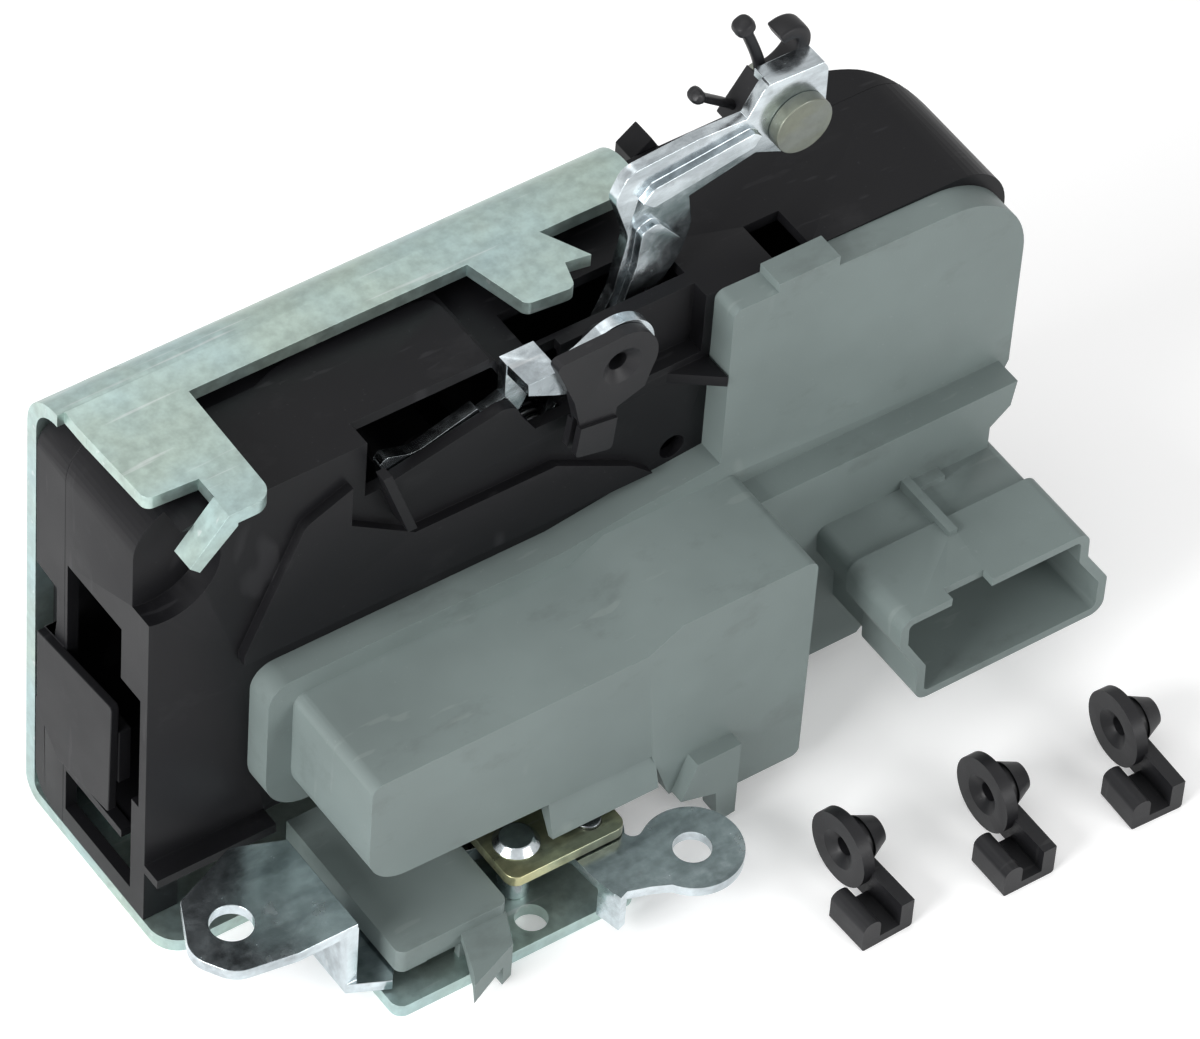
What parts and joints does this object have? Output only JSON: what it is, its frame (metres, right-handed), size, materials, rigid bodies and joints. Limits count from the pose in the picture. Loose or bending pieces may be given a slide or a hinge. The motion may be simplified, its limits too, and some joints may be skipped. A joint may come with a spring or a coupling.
{
  "type": "car door lock",
  "caption": "Powered side-door latch: slotted zinc shut-face plate with rotary fork and pawl, black case, grey drive cover with connector, rod levers and clips.",
  "frame": {"origin": "centre of the first fixing hole, on the outer side of the zinc shut face", "axes": "+X along the case towards the connector end, +Y from the levers to the door's inner edge, +Z out of the shut face along the case's height"},
  "size_m": [0.1575, 0.097, 0.1229],
  "materials": {
    "zinc_plate": "zinc plated and passivated, satin",
    "zinc_lever": "bright zinc plated, satin",
    "black_case": "moulded, lightly textured",
    "grey_cover": "moulded, satin",
    "hard_steel": "ground steel",
    "yellow_zinc": "yellow passivated zinc",
    "black_clip": "moulded nylon",
    "buffer_rubber": "moulded rubber",
    "motor_steel": "plated motor can",
    "worm_brass": "machined brass",
    "gear_plastic": "white acetal",
    "board_green": "circuit board",
    "blade_tin": "tin plated"
  },
  "bodies": {
    "lock": {"latch_plate": "zinc_plate", "front_housing": "black_case", "rear_housing": "black_case", "actuator_cover": "grey_cover", "latch_cover": "grey_cover", "backing_plate": "yellow_zinc", "plate_rivets": "zinc_lever", "fork_pivot_pin": "hard_steel", "pawl_pivot_pin": "hard_steel", "key_lever_pin": "hard_steel", "fork_spring": "hard_steel", "striker_buffer": "buffer_rubber", "outside_lever_pin": "hard_steel", "outside_lever_spring": "hard_steel", "lock_lever_pin": "hard_steel", "motor_can": "motor_steel", "motor_end_cap": "black_case", "worm_wheel_pin": "hard_steel", "microswitch": "black_clip", "contact_board": "board_green", "connector_blades": "blade_tin", "spare_rod_clips": "black_clip"},
    "fork_body": {"fork": "hard_steel"},
    "pawl_body": {"pawl": "hard_steel"},
    "inside_lever_body": {"inside_lever": "zinc_lever"},
    "key_lever_body": {"key_lever": "zinc_lever"},
    "outside_lever_body": {"outside_lever": "zinc_lever", "holder_rivet": "zinc_lever"},
    "rod_holder_body": {"rod_holder": "black_clip"},
    "lock_lever_body": {"lock_lever": "zinc_lever"},
    "rod_clip_body": {"rod_clip": "black_clip"},
    "worm_body": {"worm": "worm_brass", "motor_shaft": "hard_steel"},
    "wheel_body": {"worm_wheel": "gear_plastic"},
    "slider_body": {"lock_slider": "gear_plastic"}
  },
  "joints": [
    {"name": "fork_turn", "type": "hinge", "parent": "lock", "child": "fork_body", "pos_m": [0.062, -0.022, 0.0063], "axis": [0, 0, 1], "range_deg": [0, 45], "stiffness_Nm_per_rad": 0.05, "springref_deg": -22.92},
    {"name": "pawl_turn", "type": "hinge", "parent": "lock", "child": "pawl_body", "pos_m": [0.022, -0.032, 0.0069], "axis": [0, 0, -1], "range_deg": [0, 3.5], "stiffness_Nm_per_rad": 0.03, "springref_deg": -17.19},
    {"name": "inside_lever_swing", "type": "hinge", "parent": "lock", "child": "inside_lever_body", "pos_m": [0.022, -0.032, 0.0039], "axis": [0, 0, 1], "range_deg": [0, 12], "stiffness_Nm_per_rad": 0.04, "springref_deg": -17.19},
    {"name": "key_lever_swing", "type": "hinge", "parent": "lock", "child": "key_lever_body", "pos_m": [0.05, -0.048, 0.0097], "axis": [0, 0, -1], "range_deg": [0, 20], "stiffness_Nm_per_rad": 0.02, "springref_deg": -17.19},
    {"name": "outside_lever_swing", "type": "hinge", "parent": "lock", "child": "outside_lever_body", "pos_m": [0.064, -0.013, 0.052], "axis": [0, -1, 0], "range_deg": [0, 10], "stiffness_Nm_per_rad": 0.15, "springref_deg": -22.92},
    {"name": "rod_holder_swivel", "type": "hinge", "parent": "outside_lever_body", "child": "rod_holder_body", "pos_m": [0.1046, -0.009, 0.1038], "axis": [0, 1, 0], "range_deg": [-6, 6]},
    {"name": "lock_lever_swing", "type": "hinge", "parent": "lock", "child": "lock_lever_body", "pos_m": [0.04, -0.0188, 0.066], "axis": [0, 1, 0], "range_deg": [0, 12]},
    {"name": "rod_clip_swivel", "type": "hinge", "parent": "lock_lever_body", "child": "rod_clip_body", "pos_m": [0.066, -0.026, 0.084], "axis": [0, 1, 0], "range_deg": [-8, 8]},
    {"name": "worm_wheel_turn", "type": "hinge", "parent": "lock", "child": "wheel_body", "pos_m": [0.0765, -0.036, 0.022], "axis": [0, 1, 0], "range_deg": [0, 120]},
    {"name": "worm_spin", "type": "hinge", "parent": "lock", "child": "worm_body", "pos_m": [0.0765, -0.036, 0.034], "axis": [1, 0, 0], "range_deg": [-2900, 0]},
    {"name": "lock_slider_travel", "type": "slide", "parent": "lock", "child": "slider_body", "axis": [0, 0, 1], "range_m": [0, 0.0073]}
  ],
  "couplings": [
    {"joint": "worm_spin", "follows": "lock_slider_travel", "rad_per_m": -6000},
    {"joint": "worm_wheel_turn", "follows": "lock_slider_travel", "rad_per_m": 250}
  ]
}
